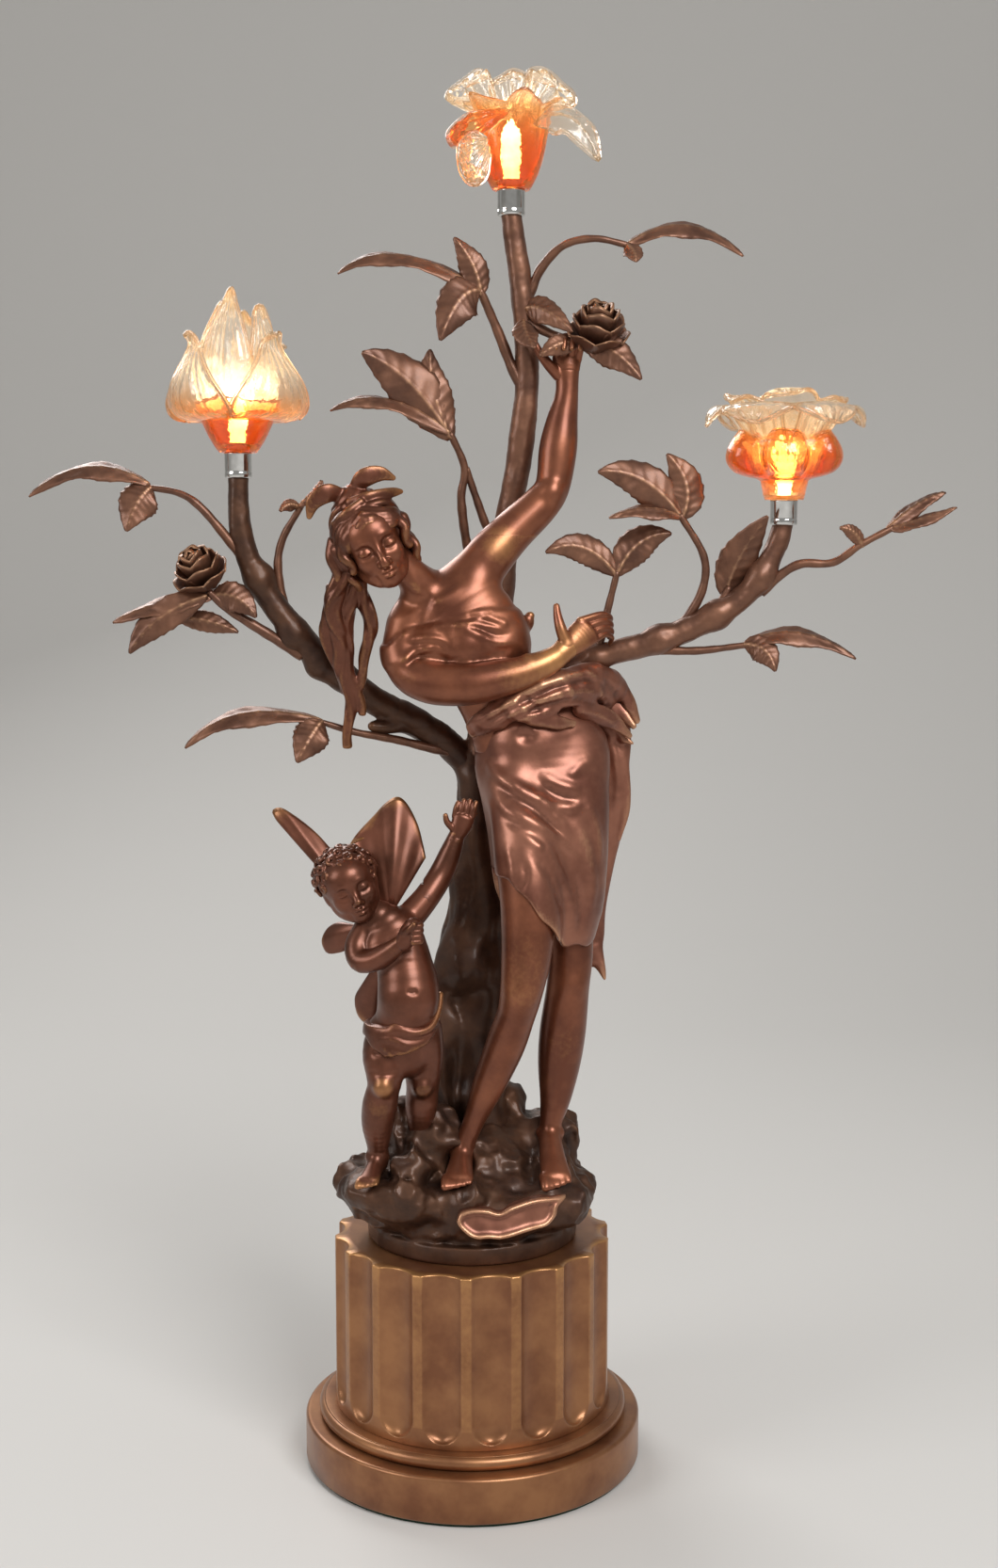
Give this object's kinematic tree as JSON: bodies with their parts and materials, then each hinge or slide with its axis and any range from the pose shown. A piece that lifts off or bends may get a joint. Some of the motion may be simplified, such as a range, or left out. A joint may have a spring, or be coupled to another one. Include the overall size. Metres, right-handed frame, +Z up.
{
  "type": "figural table lamp",
  "caption": "Bronze figural table lamp: a woman and a winged child beside a flowering bough on a fluted drum, its branches carrying lit glass flowers on chrome collars.",
  "frame": {"origin": "centre of the felted underside, on the axis of the round pedestal", "axes": "+Z up; -Y is the front, where both figures face; +X is the viewer's right"},
  "size_m": [0.4194, 0.1626, 0.6499],
  "materials": {
    "pedestal_bronze": "satin golden-brown patina",
    "figure_bronze": "satin red-brown patina, worn high spots",
    "foliage_bronze": "satin brown patina",
    "collar_chrome": "polished",
    "holder_ceramic": "matt",
    "bulb_glass": "clear",
    "flower_glass": "clear fading to amber at the cup",
    "felt": "felt",
    "zinc_steel": "zinc plated",
    "transformer_case": "matt",
    "gland_plastic": "matt",
    "lead_insulation": "matt"
  },
  "bodies": {
    "lamp": {"back_drape": "figure_bronze", "bare_plaque": "foliage_bronze", "bottom_plate": "zinc_steel", "branch_left": "foliage_bronze", "branch_right": "foliage_bronze", "branch_top": "foliage_bronze", "cord_gland": "gland_plastic", "felt_pad": "felt", "fluted_drum": "pedestal_bronze", "lamp_collars": "collar_chrome", "lampholders": "holder_ceramic", "leaf_right_branch": "foliage_bronze", "plinth": "pedestal_bronze", "putto_arm_bent": "figure_bronze", "putto_arm_raised": "figure_bronze", "putto_head": "figure_bronze", "putto_leg_back": "figure_bronze", "putto_leg_front": "figure_bronze", "putto_loincloth": "figure_bronze", "putto_torso": "figure_bronze", "putto_wing_left": "figure_bronze", "putto_wing_right": "figure_bronze", "rock_mound": "foliage_bronze", "spray_hand": "foliage_bronze", "spray_left_bud": "foliage_bronze", "spray_left_inner": "foliage_bronze", "spray_left_low": "foliage_bronze", "spray_left_tip": "foliage_bronze", "spray_right_inner": "foliage_bronze", "spray_right_low": "foliage_bronze", "spray_right_tip": "foliage_bronze", "spray_rose": "foliage_bronze", "spray_shoulder": "foliage_bronze", "spray_top_left": "foliage_bronze", "spray_top_right": "foliage_bronze", "tie_rod": "zinc_steel", "tie_rod_nut": "zinc_steel", "transformer": "transformer_case", "transformer_screws": "zinc_steel", "tree_trunk": "foliage_bronze", "wiring": "lead_insulation", "woman_arm_crossing": "figure_bronze", "woman_arm_raised": "figure_bronze", "woman_hair": "figure_bronze", "woman_head": "figure_bronze", "woman_leg_bent": "figure_bronze", "woman_leg_straight": "figure_bronze", "woman_sash": "figure_bronze", "woman_skirt": "figure_bronze", "woman_torso": "figure_bronze"},
    "glass_top": {"shade_top": "flower_glass"},
    "capsule_top": {"bulb_top": "bulb_glass"},
    "glass_left": {"shade_left": "flower_glass"},
    "capsule_left": {"bulb_left": "bulb_glass"},
    "glass_right": {"shade_right": "flower_glass"},
    "capsule_right": {"bulb_right": "bulb_glass"}
  },
  "joints": [
    {"name": "shade_lift_top", "type": "slide", "parent": "lamp", "child": "glass_top", "axis": [0, 0, 1], "range_m": [0, 0.06]},
    {"name": "bulb_pull_top", "type": "slide", "parent": "lamp", "child": "capsule_top", "axis": [0, 0, 1], "range_m": [0, 0.01]},
    {"name": "shade_lift_left", "type": "slide", "parent": "lamp", "child": "glass_left", "axis": [0, 0, 1], "range_m": [0, 0.06]},
    {"name": "bulb_pull_left", "type": "slide", "parent": "lamp", "child": "capsule_left", "axis": [0, 0, 1], "range_m": [0, 0.01]},
    {"name": "shade_lift_right", "type": "slide", "parent": "lamp", "child": "glass_right", "axis": [0, 0, 1], "range_m": [0, 0.06]},
    {"name": "bulb_pull_right", "type": "slide", "parent": "lamp", "child": "capsule_right", "axis": [0, 0, 1], "range_m": [0, 0.01]}
  ]
}
